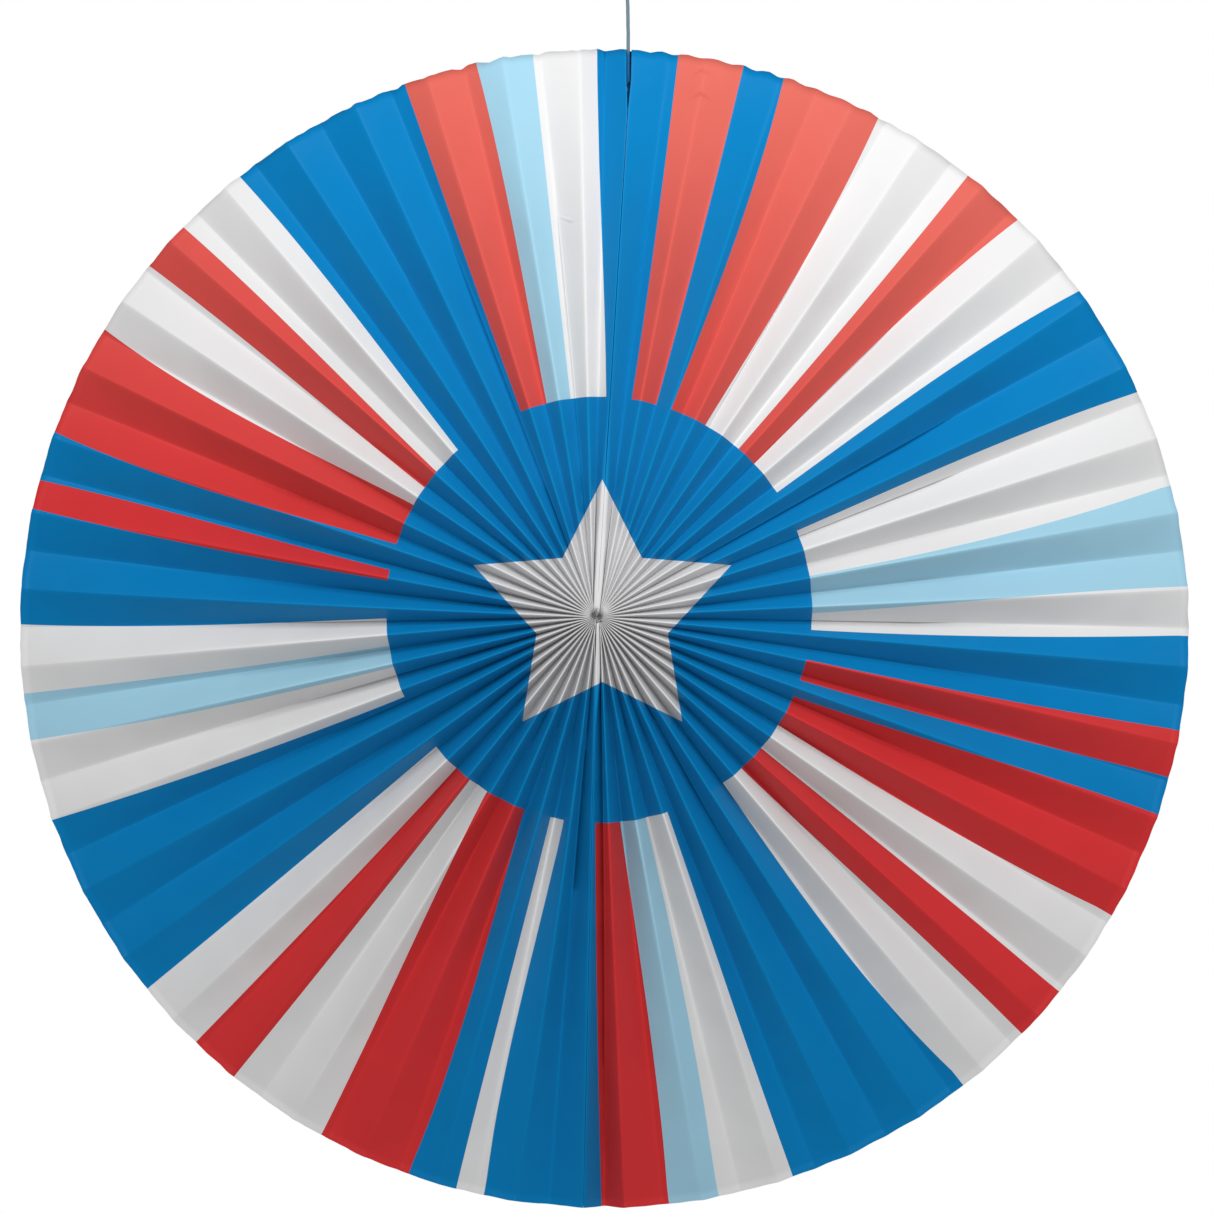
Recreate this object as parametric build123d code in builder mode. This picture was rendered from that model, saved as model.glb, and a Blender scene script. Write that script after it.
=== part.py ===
"""A large pleated paper fan medallion that hangs from a string by its top seam.

Two printed paper strips are folded into pleats. Each is opened to half a circle, and they are joined
at a top and a bottom seam, where their end panels are glued together as tabs behind the front
creases. A thread through all the panels gathers them round a small hole at the hub. The string is
held between the tabs at the top of the rim, and its upper end is a knotted loop.

The fan stands in the XZ plane with its printed side to -Y, and its origin is the middle of the rim.
Directions round the fan are in degrees, clockwise from straight up as seen from the front.
"""
from build123d import *
import os
from math import asin, cos, degrees, hypot, pi, radians, sin, sqrt, tan

os.makedirs("parts", exist_ok=True)

# Driving sizes, in millimetres and degrees
rim_width = 764.0  # the finished rim from left to right
rim_height = 757.0  # the finished rim from top to bottom
hub_right = -5.0  # where the hub sits in the rim: to the right of its middle
hub_up = 7.6  # and above its middle
paper = 0.22  # thickness of the printed sheet
pleats = 24  # in each leaf
flattest_pleat = 7.0  # depth of the flattest pleat at the rim
layer_play = 0.035  # room for each layer of paper round the hub hole
top_seam = 3.5  # direction of the top seam
bottom_seam = 181.3  # direction of the bottom seam
right_last_pleat = 4.0  # angle of the squeezed pleat that ends the right leaf
left_last_pleat = 4.8  # angle of the squeezed pleat that ends the left leaf
glue_line = 0.12  # thickness of the adhesive tape in the seams
tape_width = 12.0
tape_front = 2.0  # how far the tape reaches forward of the middle of the pleats
tape_from_thread = 14.0  # where the tape begins, beyond the thread
tape_from_opening = 5.0  # where the tape ends, short of the opening for the string
thread_diameter = 0.8
thread_ring = 16.0  # radius of the thread's ring round the hub
thread_depth = 3.0  # how far the thread lies behind the middle of the pleats
thread_play = 0.12  # room round the thread in the holes that it runs through
thread_margin = 4.0  # from the thread's ring to the first bend of the facets
string_diameter = 2.4
string_grip = 21.0  # length of string that is held in the top seam
string_left = 0.7  # how far the foot of the string lies to the left of the seam's line
string_play = 0.15  # room between the string and the tab to its left
string_slack = 0.4  # room between the foot of the string and the tab to its right
string_depth = 2.0  # how far the string lies behind the middle of the pleats
seam_opening = 40.0  # length of the top seam that the string spreads
knot_above_rim = 40.0
knot_length = 12.0
knot_diameter = 9.0
knot_rounding = 1.4  # slope that takes off the knot's corners
leg_gap = 0.2  # between the two legs of the loop in the knot
end_in_knot = 8.0  # length of the string's end that is held in the knot
legs_part = 9.0  # height above the knot at which the loop's legs part
legs_upright = 24.0  # height above the knot from which they run upright again
leg_inset = 1.4  # how much narrower the loop is there than at its widest
loop_radius = 9.0  # bend at the top of the loop
loop_height = 43.0  # from the knot to the top of the loop

bends = 5  # even bends of the panels' facets from the hub to the rim

# Worked out from the driving sizes
hub = Vector(hub_right, 0, hub_up)
layers = 2 * (2 * pleats + 2)
hub_radius = layers * (paper + layer_play) / (2 * pi)
crease_offset = (glue_line + paper) / 2
right_span = bottom_seam - top_seam
left_span = 360 - right_span
right_step = (right_span - right_last_pleat) / (pleats - 1)
left_step = (left_span - left_last_pleat) / (pleats - 1)


def towards(direction):
    """The unit vector in the plane of the fan that points in a direction."""
    return Vector(sin(radians(direction)), 0, cos(radians(direction)))


def rim_distance(direction):
    """Distance from the hub to the oval rim in a direction."""
    out = towards(direction)
    wide, tall = rim_width / 2, rim_height / 2
    a = (out.X / wide) ** 2 + (out.Z / tall) ** 2
    b = hub.X * out.X / wide**2 + hub.Z * out.Z / tall**2
    c = (hub.X / wide) ** 2 + (hub.Z / tall) ** 2 - 1
    return (sqrt(b * b - a * c) - b) / a


# All panels have one width, which leaves the widest pleat its depth at the rim.
longest = max(rim_distance(direction) for direction in range(360))
widest = 2 * longest * sin(radians(max(left_step, right_step) / 4))
panel_width = hypot(widest, flattest_pleat)

# Half the width of the usual pleat at the rim, which sets how far the crests stand forward.
usual = 2 * (rim_width + rim_height) / 4 * sin(radians(180 / pleats / 4))

# Shares of a crease's length at which its facets end. They are closer where the crease curves more.
opened = asin(usual / panel_width)
top_length = rim_distance(top_seam) - hub_radius
tape_start = thread_ring + tape_from_thread
shares = [sin(opened * bend / bends) / sin(opened) for bend in range(bends + 1)]
shares += [(radius - hub_radius) / top_length for radius in (thread_ring - thread_margin, tape_start)]
shares += [1 - from_rim / top_length for from_rim in (seam_opening, string_grip)]
shares.sort()
thread_row = sum(1 for share in shares if share * top_length + hub_radius < thread_ring) - 1

# The string hangs upright, so it drifts to the left of the slanting seam towards the rim.
reach = string_diameter / 2 + string_play - glue_line / 2
drift = string_grip * tan(radians(top_seam))
left_spread = (string_left + reach, string_left + drift + reach)
right_spread = (reach - string_left + string_slack - string_play, 0)


def spread_at(share, foot, rim):
    """How far the string pushes a crease of the top seam aside at a share of its length."""
    from_rim = (1 - share) * top_length
    if from_rim > string_grip:
        return foot * max(seam_opening - from_rim, 0) / (seam_opening - string_grip)
    return rim + (foot - rim) * from_rim / string_grip


def crease_lines(first_seam, span, step, first_spread=(0, 0), last_spread=(0, 0)):
    """The creases of a leaf in the plane of the fan, each a list of points from the hub to the rim.

    Crests and valleys take turns. The first and last crests run beside their seams. Round the hub
    the creases are evenly packed, and at the rim they are a step apart, up to the squeezed pleat.
    """
    lean = degrees(asin(crease_offset / hub_radius))
    packed = (span - 2 * lean) / (2 * pleats)
    crests = [first_seam + step * pleat for pleat in range(pleats)] + [first_seam + span]
    lines = []
    for fold in range(2 * pleats + 1):
        direction = (crests[fold // 2] + crests[(fold + 1) // 2]) / 2
        inner = hub + towards(first_seam + lean + packed * fold) * hub_radius
        outer = hub + towards(direction) * rim_distance(direction)
        aside = towards(direction + 90)
        spread = [0] * len(shares)
        if fold == 0:
            outer += aside * crease_offset
            spread = [spread_at(share, *first_spread) for share in shares]
        if fold == 2 * pleats:
            outer -= aside * crease_offset
            spread = [-spread_at(share, *last_spread) for share in shares]
        lines.append([inner + (outer - inner) * s + aside * push for s, push in zip(shares, spread)])
    return lines


def folded_net(lines):
    """The fold lines in space, row by row from the hub to the rim, with the ends of the tabs.

    The crests lie in front, where the usual pleat has them. Each valley lies a panel's width from
    its crests, and each tab stands straight back from its crest.
    """
    net = []
    for row, share in enumerate(shares):
        crest = -sqrt(panel_width**2 - (share * usual) ** 2) / 2
        points = [line[row] for line in lines]
        folds = [Vector(point.X, crest, point.Z) for point in points]
        for fold in range(1, 2 * pleats, 2):
            half = (points[fold + 1] - points[fold - 1]).length / 2
            folds[fold] += Vector(0, sqrt(panel_width**2 - half**2), 0)
        tab = Vector(0, panel_width, 0)
        net.append([folds[0] + tab] + folds + [folds[-1] + tab])
    return net


def paper_skins(folds, first_aside, last_aside):
    """The front and back outlines of the sheet across one row of folds, two points for each fold.

    On the outside of a fold the two points are a paper's thickness apart, and on the inside they
    are one point, where the two panels meet.
    """
    panels = [(b - a).normalized() for a, b in zip(folds, folds[1:])]
    fore, aft = [], []
    for fold in range(1, len(folds) - 1):
        point = folds[fold]
        outward = Vector(0, -1, 0) if fold % 2 else Vector(0, 1, 0)
        flat = folds[min(fold + 1, len(folds) - 2)] - folds[max(fold - 1, 1)]
        flat = Vector(flat.X, 0, flat.Z).normalized()
        if fold == 1:
            flat = first_aside
        if fold == len(folds) - 2:
            flat = last_aside
        sides = ((-panels[fold - 1], -flat), (panels[fold], flat))
        bend = sides[0][0].cross(sides[1][0]).length
        inner = point + (sides[0][0] + sides[1][0]) * (paper / 2 / bend)
        outer = []
        for panel, side in sides:
            rise = panel.dot(side) / (1 - panel.dot(outward))
            outer.append(point + (side + outward * rise) * (paper / 2))
        fore += outer if fold % 2 else [inner, inner]
        aft += [inner, inner] if fold % 2 else outer
    for skin in (fore, aft):
        skin.insert(0, Vector(skin[0].X, folds[0].Y, skin[0].Z))
        skin.append(Vector(skin[-1].X, folds[-1].Y, skin[-1].Z))
    return fore, aft


def needle_hole(corners, out):
    """The corners of the thread's square hole in the facet through three corners.

    The thread crosses the facet in the direction out from the hub.
    """
    facet = Plane(origin=corners[0], z_dir=(corners[1] - corners[0]).cross(corners[2] - corners[0]))
    half = thread_diameter / 2 + thread_play
    middle = hub + out * thread_ring + Vector(0, thread_depth, 0)
    along = out.cross(Vector(0, 1, 0))
    hole = []
    for right, back in ((1, 1), (1, -1), (-1, -1), (-1, 1)):
        corner = middle + out * half * right + Vector(0, half * back, 0)
        lift = (corner - facet.origin).dot(facet.z_dir) / along.dot(facet.z_dir)
        hole.append(corner - along * lift)
    return hole


def flat_face(corners, holes=()):
    """A flat face with its corners in order, or nothing where two corners fall together."""
    kept = [c for i, c in enumerate(corners) if (c - corners[i - 1]).length > 1e-6]
    if len(kept) < 3:
        return []
    inner = [Wire.make_polygon(hole, close=True) for hole in holes]
    return [Face(Wire.make_polygon(kept, close=True), inner)]


def folded_leaf(lines, first_aside, last_aside):
    """One solid leaf: both skins of the folded paper, its cut edges and its needle holes.

    The facets of a panel meet in a line from the inner end of its crest to the outer end of its
    valley, so that each pleat is alike on its two sides.
    """
    net = folded_net(lines)
    skins = [paper_skins(folds, first_aside, last_aside) for folds in net]
    across = len(skins[0][0])
    faces = []
    for row in range(len(net) - 1):
        for column in range(across - 1):
            fold = column // 2
            pierced = row == thread_row and column % 2 == 0
            rings = []
            for side in (0, 1):
                a, b = skins[row][side][column : column + 2]
                d, c = skins[row + 1][side][column : column + 2]
                inner, outer = ((a, b, c), (a, c, d)) if fold % 2 else ((a, b, d), (b, c, d))
                holes = []
                if pierced:
                    out = (net[row][fold] + net[row][fold + 1]) / 2 - hub
                    out = Vector(out.X, 0, out.Z).normalized()
                    holes = [needle_hole(inner, out)]
                    rings.append(holes[0])
                faces += flat_face(inner, holes) + flat_face(outer)
            for i in range(4 if rings else 0):
                faces += flat_face((rings[0][i - 1], rings[0][i], rings[1][i], rings[1][i - 1]))
    for row in (0, len(net) - 1):
        fore, aft = skins[row]
        for column in range(across - 1):
            a, b = fore[column : column + 2]
            d, c = aft[column : column + 2]
            faces += flat_face((a, b, c)) + flat_face((a, c, d))
    for column in (0, across - 1):
        for (fore_a, aft_a), (fore_b, aft_b) in zip(skins, skins[1:]):
            a, b, c, d = fore_a[column], fore_b[column], aft_b[column], aft_a[column]
            faces += flat_face((a, b, c)) + flat_face((a, c, d))
    return Solid(Shell(faces))


right_lines = crease_lines(top_seam, right_span, right_step, first_spread=right_spread)
left_lines = crease_lines(bottom_seam, left_span, left_step, last_spread=left_spread)
top_aside, bottom_aside = towards(top_seam + 90), towards(bottom_seam + 90)

with BuildPart() as right_leaf:
    add(folded_leaf(right_lines, top_aside, bottom_aside))
right_leaf.part.label = "right_leaf"
export_step(right_leaf.part, "parts/right_leaf.step")

with BuildPart() as left_leaf:
    add(folded_leaf(left_lines, bottom_aside, top_aside))
left_leaf.part.label = "left_leaf"
export_step(left_leaf.part, "parts/left_leaf.step")


def seam_tape(seam):
    """The adhesive strip between the two tabs of a seam."""
    length = rim_distance(seam) - seam_opening - tape_from_opening - tape_start
    with BuildPart() as tape:
        with BuildSketch(Plane(origin=hub, x_dir=(0, 1, 0), z_dir=towards(seam + 90))):
            with Locations((tape_width / 2 - tape_front, tape_start + length / 2)):
                Rectangle(tape_width, length)
        extrude(amount=glue_line / 2, both=True)
    return tape


top_seam_tape = seam_tape(top_seam)
top_seam_tape.part.label = "top_seam_tape"
export_step(top_seam_tape.part, "parts/top_seam_tape.step")

bottom_seam_tape = seam_tape(bottom_seam)
bottom_seam_tape.part.label = "bottom_seam_tape"
export_step(bottom_seam_tape.part, "parts/bottom_seam_tape.step")

# The thread runs through a hole in every panel and is drawn tight.
with BuildPart() as hub_thread:
    with BuildSketch(Plane(origin=hub, x_dir=(1, 0, 0), z_dir=(0, 0, 1))):
        with Locations((thread_ring, thread_depth)):
            RegularPolygon(thread_diameter / 2, 6)
    revolve(axis=Axis(hub, (0, 1, 0)))
hub_thread.part.label = "hub_thread"
export_step(hub_thread.part, "parts/hub_thread.step")

# The string rises straight from between the tabs, through its knot and round a loop back into it.
foot = hub + towards(top_seam) * (rim_distance(top_seam) - string_grip)
string_x = foot.X - string_left
knot_bottom = (hub + towards(top_seam) * rim_distance(top_seam)).Z + knot_above_rim
knot_top = knot_bottom + knot_length
leg = string_diameter + leg_gap
middle_x = string_x + leg / 2
shoulder = knot_top + loop_height - loop_radius * (1 - tan(radians(30)))
apex = knot_top + loop_height - loop_radius * (1 - 1 / cos(radians(30)))
route = [
    (string_x, foot.Z),
    (string_x, knot_top + legs_part),
    (middle_x - loop_radius + leg_inset, knot_top + legs_upright),
    (middle_x - loop_radius, shoulder),
    (middle_x, apex),
    (middle_x + loop_radius, shoulder),
    (middle_x + loop_radius - leg_inset, knot_top + legs_upright),
    (string_x + leg, knot_top + legs_part),
    (string_x + leg, knot_top - end_in_knot),
]
route = [Vector(x, string_depth, z) for x, z in route]
bend_radii = []
for before, corner, after in zip(route, route[1:], route[2:]):
    into, out_of = corner - before, after - corner
    shorter = min(into.length, out_of.length)
    bend_radii.append(0.45 * shorter / tan(radians(into.get_angle(out_of)) / 2))
print("string bends", [round(radius, 1) for radius in bend_radii])

with BuildPart() as hanging_string:
    with BuildLine() as string_line:
        FilletPolyline(*route, radius=bend_radii)
    with BuildSketch(Plane(origin=route[0], z_dir=(0, 0, 1))):
        Circle(string_diameter / 2)
    sweep()
string_length = string_line.wire().length
section_times_length = pi * string_diameter**2 / 4 * string_length
print("string length", string_length, "volume", hanging_string.part.volume, section_times_length)
hanging_string.part.label = "hanging_string"
export_step(hanging_string.part, "parts/hanging_string.step")

# The knot grips the standing part, which goes right through it, and the string's end.
with BuildPart() as string_knot:
    with BuildSketch(Plane(origin=(middle_x, string_depth, knot_bottom))):
        Circle(knot_diameter / 2)
    extrude(amount=knot_length)
    chamfer(string_knot.edges(), length=knot_rounding)
    with Locations((string_x, string_depth, knot_top)):
        Hole(string_diameter / 2)
    with Locations((string_x + leg, string_depth, knot_top)):
        Hole(string_diameter / 2, depth=end_in_knot)
string_knot.part.label = "string_knot"
export_step(string_knot.part, "parts/string_knot.step")

print("loop inside top", apex - (1 / cos(radians(30)) - 1) * bend_radii[3] - string_diameter / 2)
print("string at", string_x, foot.Z, "knot", knot_bottom, knot_top, "panel", panel_width)
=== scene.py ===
from math import radians

import bpy
import numpy as np
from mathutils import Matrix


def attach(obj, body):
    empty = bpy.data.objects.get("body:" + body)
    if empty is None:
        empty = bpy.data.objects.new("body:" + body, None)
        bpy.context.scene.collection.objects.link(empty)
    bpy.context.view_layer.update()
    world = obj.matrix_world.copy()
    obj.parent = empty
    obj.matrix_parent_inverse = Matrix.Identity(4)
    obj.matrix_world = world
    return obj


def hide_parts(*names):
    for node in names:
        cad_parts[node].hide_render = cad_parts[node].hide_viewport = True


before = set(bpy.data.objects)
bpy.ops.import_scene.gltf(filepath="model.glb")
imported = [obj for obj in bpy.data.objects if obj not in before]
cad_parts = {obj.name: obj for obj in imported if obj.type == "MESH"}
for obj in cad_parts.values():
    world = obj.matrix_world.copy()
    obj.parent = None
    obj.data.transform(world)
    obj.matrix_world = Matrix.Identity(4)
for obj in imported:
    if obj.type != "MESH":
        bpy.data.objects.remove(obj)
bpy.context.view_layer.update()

# The camera sees the fan straight from the front. The frame is a little wider than the rim and
# cuts the string off above it.
frame_width = 0.7934
camera_distance = 6.0
frame_middle = (0.0017, 0.0141)
sensor = 36.0

camera_data = bpy.data.cameras.new("front_camera")
camera_data.sensor_width = sensor
camera_data.lens = sensor * camera_distance / frame_width
camera_data.clip_end = 50
camera = bpy.data.objects.new("front_camera", camera_data)
camera.location = (frame_middle[0], -camera_distance, frame_middle[1])
camera.rotation_euler = (radians(90), 0, 0)
bpy.context.collection.objects.link(camera)
bpy.context.scene.camera = camera


# The hanging string is slate-grey cotton, three strands twisted together. Its foot is held between
# the glue tabs of the top seam, and from just above the rim down it is painted a dark blue shade.
# Above the picture the string is tied back on itself in a loop knot.
string_diameter = 0.0024
string_depth = 0.002
string_route = [
    (0.015678, 0.357134),
    (0.015678, 0.439095),
    (0.009378, 0.454095),
    (0.007978, 0.469291),
    (0.016978, 0.474487),
    (0.025978, 0.469291),
    (0.024578, 0.454095),
    (0.018278, 0.439095),
    (0.018278, 0.422095),
]
twist_pitch = 0.0085
knot_middle = (0.016978, 0.002, 0.424095)
knot_turns = 3.9
knot_rise = 0.0023
knot_radius = 0.0033
string_dark, string_pale = (0.1, 0.17, 0.215, 1), (0.22, 0.34, 0.39, 1)
foot_shade_colour = (0.0, 0.16, 0.4, 1)
foot_top, foot_bottom = 0.379, 0.375


def route_line(name, route, depth):
    """The route's smooth line: points along the spline whose control points are (x, depth, z)."""
    data = bpy.data.curves.new(name, "CURVE")
    data.dimensions = "3D"
    spline = data.splines.new("NURBS")
    spline.points.add(len(route) - 1)
    for point, (x, z) in zip(spline.points, route):
        point.co = (x, depth, z, 1)
    spline.order_u = 3
    spline.use_endpoint_u = True
    spline.resolution_u = 24
    line = bpy.data.objects.new(name, data)
    mesh = bpy.data.meshes.new_from_object(line)
    points = np.array([vertex.co for vertex in mesh.vertices])
    bpy.data.objects.remove(line)
    bpy.data.meshes.remove(mesh)
    return points


def twisted_string(name, points, material, sides=24):
    """A closed tube along a path, with three lobes that wind once round it in each pitch.

    At distance s along the path and angle a round it, the radius is the string's own radius times
    0.86 plus 0.14 of the absolute cosine of one and a half times (a less the twist at s).
    """
    steps = np.linalg.norm(np.diff(points, axis=0), axis=1)
    along = np.concatenate([[0], np.cumsum(steps)])
    tangent = np.gradient(points, along, axis=0)
    tangent /= np.linalg.norm(tangent, axis=1)[:, None]
    side = np.cross(tangent, (0.05, 1.0, 0.02))
    side /= np.linalg.norm(side, axis=1)[:, None]
    other = np.cross(side, tangent)
    angle = np.linspace(0, 2 * np.pi, sides, endpoint=False)
    twist = 2 * np.pi * along[:, None] / twist_pitch
    radius = string_diameter / 2 * (0.86 + 0.14 * np.abs(np.cos(1.5 * (angle - twist))))
    ring = side[:, None, :] * np.cos(angle)[None, :, None]
    ring = ring + other[:, None, :] * np.sin(angle)[None, :, None]
    grid = points[:, None, :] + ring * radius[:, :, None]
    index = np.arange(len(points) * sides).reshape(-1, sides)
    after = np.roll(index, -1, axis=1)
    quads = np.stack([index[:-1], after[:-1], after[1:], index[1:]], axis=-1).reshape(-1, 4)
    ends = [index[0][::-1].tolist(), index[-1].tolist()]
    mesh = bpy.data.meshes.new(name)
    mesh.from_pydata(grid.reshape(-1, 3).tolist(), [], quads.tolist() + ends)
    mesh.polygons.foreach_set("use_smooth", np.ones(len(mesh.polygons), bool))
    mesh.materials.append(material)
    piece = bpy.data.objects.new(name, mesh)
    bpy.context.collection.objects.link(piece)
    return piece


def new_material(name):
    """An empty material, with its node tree and its surface shader."""
    material = bpy.data.materials.new(name)
    material.use_nodes = True
    return material, material.node_tree, material.node_tree.nodes["Principled BSDF"]


def node_group(name, inputs, outputs):
    """A new group with named sockets, each with its kind, and the group's input and output nodes."""
    group = bpy.data.node_groups.new(name, "ShaderNodeTree")
    for title, kind in inputs:
        group.interface.new_socket(title, in_out="INPUT", socket_type="NodeSocket" + kind)
    for title, kind in outputs:
        group.interface.new_socket(title, in_out="OUTPUT", socket_type="NodeSocket" + kind)
    return group, group.nodes.new("NodeGroupInput"), group.nodes.new("NodeGroupOutput")


def place_group(tree, group, **values):
    """A group placed in a material, with the material's own values on its inputs."""
    node = tree.nodes.new("ShaderNodeGroup")
    node.node_tree = group
    for title, value in values.items():
        node.inputs[title].default_value = value
    return node


def own_place(tree):
    """Where a point lies on the finished fan, as separate X, Y and Z in metres."""
    here = tree.nodes.new("ShaderNodeTexCoord")
    place = tree.nodes.new("ShaderNodeSeparateXYZ")
    tree.links.new(here.outputs["Object"], place.inputs[0])
    return place.outputs


def mixed(tree, factor, first, second):
    """A mix of two colours: the first at factor 0, the second at 1. Each is a socket or a colour."""
    mix = tree.nodes.new("ShaderNodeMix")
    mix.data_type = "RGBA"
    tree.links.new(factor, mix.inputs["Factor"])
    for title, colour in (("A", first), ("B", second)):
        if isinstance(colour, tuple):
            mix.inputs[title].default_value = colour
        else:
            tree.links.new(colour, mix.inputs[title])
    return mix.outputs["Result"]


# Cotton, tape and the floor are all mottled: small cloudy patches shade from a dark to a pale tone.
# The patches' own height can raise the surface too.
mottled, own, out = node_group(
    "mottled",
    [("Scale", "Float"), ("Dark", "Color"), ("Pale", "Color")],
    [("Colour", "Color"), ("Height", "Float")],
)
here = mottled.nodes.new("ShaderNodeTexCoord")
patches = mottled.nodes.new("ShaderNodeTexNoise")
mottled.links.new(here.outputs["Object"], patches.inputs["Vector"])
mottled.links.new(own.outputs["Scale"], patches.inputs["Scale"])
tone = mixed(mottled, patches.outputs["Fac"], own.outputs["Dark"], own.outputs["Pale"])
mottled.links.new(tone, out.inputs["Colour"])
mottled.links.new(patches.outputs["Fac"], out.inputs["Height"])

string_cotton, tree, shader = new_material("string_cotton")
shader.inputs["Roughness"].default_value = 0.8
shader.inputs["Sheen Weight"].default_value = 0.1
fibres = place_group(tree, mottled, Scale=2600, Dark=string_dark, Pale=string_pale)
fuzz = tree.nodes.new("ShaderNodeBump")
fuzz.inputs["Strength"].default_value = 0.4
fuzz.inputs["Distance"].default_value = 0.0002
tree.links.new(fibres.outputs["Height"], fuzz.inputs["Height"])
tree.links.new(fuzz.outputs["Normal"], shader.inputs["Normal"])
# From just above the rim down, the string's colour turns to a painted dark blue shade.
foot = tree.nodes.new("ShaderNodeMapRange")
foot.inputs["From Min"].default_value = foot_top
foot.inputs["From Max"].default_value = foot_bottom
tree.links.new(own_place(tree)["Z"], foot.inputs["Value"])
foot_in_painted_shade = mixed(tree, foot.outputs["Result"], fibres.outputs["Colour"], foot_shade_colour)
tree.links.new(foot_in_painted_shade, shader.inputs["Base Color"])

string_line = route_line("string_line", string_route, string_depth)
string_piece = twisted_string("twisted_string", string_line, string_cotton)

# The knot is the same string, wound nearly four times round the loop's foot. Its line is a helix
# whose two ends tuck in towards the middle.
turn = np.linspace(0, 2 * np.pi * knot_turns, 240)
climb = (turn / (2 * np.pi) - knot_turns / 2) * knot_rise
tuck = np.clip(np.minimum(turn, turn[-1] - turn) / 1.2, 0, 1)
wind = knot_radius * (0.62 + 0.38 * tuck * tuck * (3 - 2 * tuck))
coil = np.stack([
    knot_middle[0] + wind * np.cos(turn),
    knot_middle[1] + wind * np.sin(turn),
    knot_middle[2] + climb,
], axis=1)
knot_piece = twisted_string("wound_knot", coil, string_cotton)

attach(string_piece, "root")
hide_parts("hanging_string")
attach(knot_piece, "root")
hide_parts("string_knot")


# The leaves are two strips of satin printed paper, each folded into 24 pleats and opened to half a
# circle. Their end panels stand straight back as glue tabs, and the inner corners gather at the hub.
# Sizes are in millimetres, and directions in degrees clockwise from straight up.
hub = np.array([-5.0, 7.6])
rim_half = np.array([382.0, 378.5])
usual_reach = 375.0
paper = 0.22
pleats = 24
panel_width = 27.118
crest_width = 24.88
least_depth = 5
fold_radius = 0.7
fold_sway = 0.7
panel_bulge = 0.45
rows = 80
row_crowding = 1.25
panel_steps = np.array([0, 0.002, 0.045, 0.11, 0.2, 0.33, 0.5, 0.67, 0.8, 0.89, 0.955, 0.998])
tab_steps = np.array([0.03, 0.12, 0.25, 0.38, 0.5, 0.7, 1.0])

# The seams, with the stretch below the rim where the string stands between the creases, and the
# stretch below its foot over which they close again.
top_seam, bottom_seam = 3.5, 181.3
seam_length = 367.0
seam_offset = 0.17
hub_offset = 0.06
string_stretch = 21.0
closing_stretch = 19.0
slit_closes, gap_opens, gap_closes = (0.03, 0.08), (0.2, 0.3), (0.86, 0.94)
lean_beside_string, lean_elsewhere = (11, 19), (3, 8)

# The hub's hole: a circle a little off the hub, with one drawn-out tip, which narrows backwards.
hole_radius = 3.5
hole_aside = np.array([-0.1, 1.1])
hole_tip = 2.2
tip_turn, tip_width = 4.0, 5.0
hole_end = 0.03
hole_cup = 0.1
hole_depth = 9.0

# How the pleats are pressed: the grooves' mouths near the hub have a slope that changes round the
# fan and grows towards the hub, two arcs beside the hole are smoothed (middle, half-width), and the
# pleats to the right of the top seam are flatter at the rim.
mouth_slope, mouth_change, mouth_side = 1.55, 0.45, 15.0
mouth_growth, mouth_reach = 2.2, 68.0
smooth_arcs = (285, 42), (48, 30)
smooth_share, smooth_reach = 0.92, 9.0
flat_side, flat_spread, flat_share = 12.0, 500.0, 0.45
valley_line = 0.9985
ridge_fade = 8.0

# The rim is cut a little unevenly, and more so at the top.
rim_waves, shortest_wave = 14, 1.3
rim_roughness, top_roughness, top_half = 0.12, 0.5, 30.0


def towards(direction):
    """Unit vectors (right, up) for directions in degrees, clockwise from straight up."""
    angle = np.radians(direction)
    return np.stack([np.sin(angle), np.cos(angle)], axis=-1)


def rim_distance(direction):
    """Distance from the hub to the oval rim, where the ray from the hub meets the ellipse."""
    out = towards(direction) / rim_half
    start = hub / rim_half
    a = (out ** 2).sum(-1)
    b = (out * start).sum(-1)
    c = (start ** 2).sum() - 1
    return (np.sqrt(b * b - a * c) - b) / a


def rounded(share, radius):
    """The rise of a panel from its crest to its valley, both rounded to the radius.

    Each half is a hyperbola that starts level and ends straight, and both are half a rise high.
    """
    near = np.minimum(share, 1 - share)
    bend = (np.sqrt(near ** 2 + radius ** 2) - radius) / (np.sqrt(0.25 + radius ** 2) - radius) / 2
    return np.where(share < 0.5, bend, 1 - bend)


def smooth_step(value, low, high):
    """0 below low, 1 above high, and a smooth rise between them."""
    share = np.clip((value - low) / (high - low), 0, 1)
    return share * share * (3 - 2 * share)


def seam_spread(share, foot, rim, along, slit):
    """How far a seam's crease stands aside at each share of the way from the hub to the rim.

    It changes evenly from the rim to the string's foot and closes below the foot. Two smooth steps
    add the middle stretch's own width, and one adds the slit at the hub.
    """
    from_rim = (1 - share) * seam_length
    beside_string = rim + (foot - rim) * from_rim / string_stretch
    below_string = foot * np.clip(string_stretch + closing_stretch - from_rim, 0, None) / closing_stretch
    at_string = np.where(from_rim > string_stretch, below_string, beside_string)
    at_hub = slit * (1 - smooth_step(share, *slit_closes))
    between = smooth_step(share, *gap_opens) * (1 - smooth_step(share, *gap_closes))
    return at_string + at_hub + along * between


def hole_distance(direction):
    """Distance from the hub to the front rim of its hole: the circle's, plus a bell curve at the tip."""
    away = towards(direction)
    along = away @ hole_aside
    circle = along + np.sqrt(along ** 2 - hole_aside @ hole_aside + hole_radius ** 2)
    from_tip = (direction - top_seam + tip_turn + 180) % 360 - 180
    return circle + hole_tip * np.exp(-(from_tip / tip_width) ** 2)


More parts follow.
